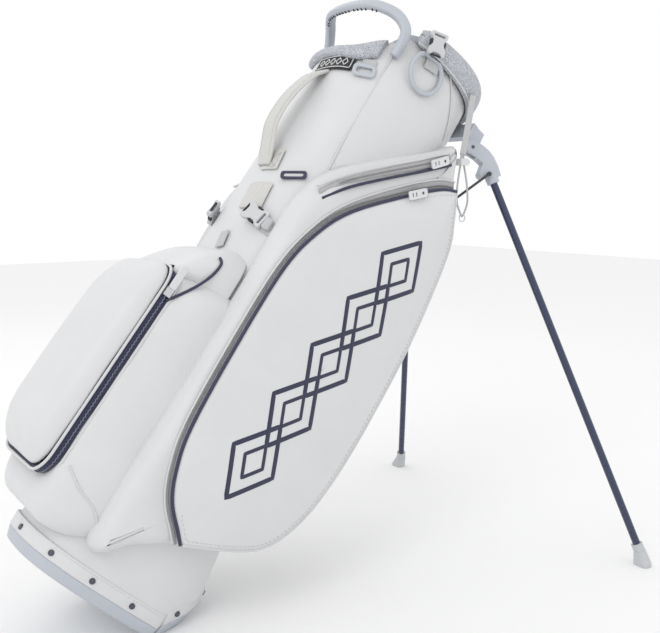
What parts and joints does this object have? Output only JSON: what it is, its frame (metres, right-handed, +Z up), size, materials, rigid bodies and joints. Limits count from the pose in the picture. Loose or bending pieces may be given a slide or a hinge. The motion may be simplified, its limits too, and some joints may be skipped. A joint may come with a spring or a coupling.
{
  "type": "golf stand bag",
  "caption": "Lightweight stand bag that carries golf clubs and leans on two folding legs, with a flexing base heel, zipped pockets and carry handles.",
  "frame": {"origin": "centre of the heel's flat face, on the ground under the bag", "axes": "+Z up; +X from the heel towards the feet, the way the bag leans; -Y the side with the towel ring"},
  "size_m": [0.8612, 0.6148, 0.833],
  "materials": {
    "bag_fabric": "matte coated weave",
    "liner": "matte",
    "navy_trim": "satin",
    "zip_tape": "matte weave",
    "mesh_pad": "spacer mesh",
    "handle_fabric": "woven",
    "webbing": "ribbed weave",
    "label": "woven",
    "grey_moulding": "fine grained",
    "white_plastic": "satin",
    "buckle_plastic": "satin",
    "rivet_metal": "gunmetal",
    "rod_metal": "black gloss",
    "leg_metal": "navy satin",
    "bare_metal": "satin",
    "glass_fibre": "satin",
    "foot_rubber": "matte"
  },
  "bodies": {
    "bag": {"base_tray": "grey_moulding", "base_rivets": "rivet_metal", "body_shell": "bag_fabric", "hem_skirt": "bag_fabric", "stay_rods": "glass_fibre", "club_divider": "liner", "collar_ring": "grey_moulding", "spine_pad": "mesh_pad", "rim_pad": "mesh_pad", "carry_handle": "grey_moulding", "hinge_bracket": "grey_moulding", "hinge_pins": "rivet_metal", "grab_handle": "handle_fabric", "label_patch": "label", "glove_patch": "handle_fabric", "slot_badge": "navy_trim", "accessory_loop": "grey_moulding", "side_pocket_right": "bag_fabric", "side_panel_right": "bag_fabric", "side_zip_tape_right": "zip_tape", "side_piping_right": "navy_trim", "side_pocket_left": "bag_fabric", "side_panel_left": "bag_fabric", "side_zip_tape_left": "zip_tape", "side_piping_left": "navy_trim", "ball_pocket": "bag_fabric", "ball_pocket_door": "bag_fabric", "ball_zip_band": "navy_trim", "valuables_pocket": "bag_fabric", "hip_pad": "mesh_pad", "seam_tab": "webbing", "strap_webbing": "webbing", "umbrella_webbing": "webbing", "umbrella_cord": "webbing", "rod_guides": "glass_fibre", "heel_pin": "bare_metal", "cord_ring": "bare_metal"},
    "heel": {"base_heel": "grey_moulding", "heel_hem": "bag_fabric", "heel_rivets": "rivet_metal"},
    "actuator": {"actuator_frame": "rod_metal"},
    "link_right": {"actuator_link_right": "rod_metal"},
    "link_left": {"actuator_link_left": "rod_metal"},
    "leg_right": {"knuckle_right": "grey_moulding", "leg_tube_right": "leg_metal", "foot_right": "foot_rubber"},
    "leg_left": {"knuckle_left": "grey_moulding", "leg_tube_left": "leg_metal", "foot_left": "foot_rubber"},
    "towel_ring": {"towel_ring": "grey_moulding"},
    "cord_lock": {"cord_lock": "white_plastic"},
    "cord_lock_button": {"cord_lock_button": "white_plastic"},
    "buckle_right": {"buckle_right": "buckle_plastic"},
    "buckle_left": {"buckle_left": "buckle_plastic"},
    "buckle_collar": {"buckle_collar": "buckle_plastic"},
    "upper_slider": {"upper_zip_slider": "bare_metal"},
    "upper_pull": {"upper_zip_pull": "white_plastic"},
    "lower_slider": {"lower_zip_slider": "bare_metal"},
    "ball_slider": {"ball_zip_slider": "bare_metal"},
    "ball_pull": {"ball_zip_pull": "white_plastic"}
  },
  "joints": [
    {"name": "leg_right_fold", "type": "hinge", "parent": "bag", "child": "leg_right", "pos_m": [0.49936, -0.074, 0.62725], "axis": [0.3074, 0.9208, -0.2402], "range_deg": [0, 54.3]},
    {"name": "leg_left_fold", "type": "hinge", "parent": "bag", "child": "leg_left", "pos_m": [0.49936, 0.074, 0.62725], "axis": [-0.3074, 0.9208, 0.2402], "range_deg": [0, 54.3]},
    {"name": "heel_flex", "type": "hinge", "parent": "bag", "child": "heel", "pos_m": [-0.03775, 0, 0.008], "axis": [0, 1, 0], "range_deg": [0, 43]},
    {"name": "actuator_slide", "type": "slide", "parent": "bag", "child": "actuator", "axis": [-0.6157, 0, -0.788], "range_m": [0, 0.0335]},
    {"name": "link_right_swing", "type": "hinge", "parent": "actuator", "child": "link_right", "pos_m": [0.37629, -0.07846, 0.5026], "axis": [0.3074, 0.9208, -0.2402], "range_deg": [-13.2, 0]},
    {"name": "link_left_swing", "type": "hinge", "parent": "actuator", "child": "link_left", "pos_m": [0.37629, 0.07846, 0.5026], "axis": [-0.3074, 0.9208, 0.2402], "range_deg": [-13.2, 0]},
    {"name": "towel_ring_swing", "type": "hinge", "parent": "bag", "child": "towel_ring", "pos_m": [0.3921, -0.1045, 0.74659], "axis": [-0.8988, 0, 0.4384], "range_deg": [0, 44]},
    {"name": "cord_lock_slide", "type": "slide", "parent": "bag", "child": "cord_lock", "axis": [0, 0, -1], "range_m": [0, 0.06], "deforming": ["umbrella_cord"]},
    {"name": "cord_lock_press", "type": "slide", "parent": "cord_lock", "child": "cord_lock_button", "axis": [-1, 0, 0], "range_m": [0, 0.0018], "stiffness_N_per_m": 300},
    {"name": "buckle_right_swing", "type": "hinge", "parent": "bag", "child": "buckle_right", "pos_m": [0.13534, -0.06932, 0.5256], "axis": [-0.6943, 0.133, -0.7073], "range_deg": [-90, 0]},
    {"name": "buckle_left_swing", "type": "hinge", "parent": "bag", "child": "buckle_left", "pos_m": [0.13534, 0.06932, 0.5256], "axis": [0.6943, 0.133, 0.7073], "range_deg": [-90, 0]},
    {"name": "buckle_collar_swing", "type": "hinge", "parent": "bag", "child": "buckle_collar", "pos_m": [0.39695, -0.11379, 0.77677], "axis": [0.9272, -0.2366, -0.2904], "range_deg": [-90, 0]},
    {"name": "upper_zip_slide", "type": "slide", "parent": "bag", "child": "upper_slider", "axis": [-0.972, 0, -0.2348], "range_m": [0, 0.19]},
    {"name": "upper_pull_swing", "type": "hinge", "parent": "upper_slider", "child": "upper_pull", "pos_m": [0.40317, -0.1258, 0.60524], "axis": [-0.2348, 0, 0.972], "range_deg": [0, 150]},
    {"name": "lower_zip_slide", "type": "slide", "parent": "bag", "child": "lower_slider", "axis": [-0.9869, 0, -0.1611], "range_m": [0, 0.12]},
    {"name": "ball_zip_slide", "type": "slide", "parent": "bag", "child": "ball_slider", "axis": [-0.6157, 0, -0.788], "range_m": [0, 0.18]},
    {"name": "ball_pull_swing", "type": "hinge", "parent": "ball_slider", "child": "ball_pull", "pos_m": [-0.00175, -0.0844, 0.4439], "axis": [0.788, 0, -0.6157], "range_deg": [0, 150]}
  ],
  "couplings": [
    {"joint": "leg_left_fold", "follows": "leg_right_fold", "ratio": 1},
    {"joint": "heel_flex", "follows": "leg_right_fold", "ratio": 0.79182},
    {"joint": "actuator_slide", "follows": "leg_right_fold", "m_per_rad": 0.035345},
    {"joint": "link_right_swing", "follows": "leg_right_fold", "ratio": -0.24307},
    {"joint": "link_left_swing", "follows": "leg_right_fold", "ratio": -0.24307}
  ]
}
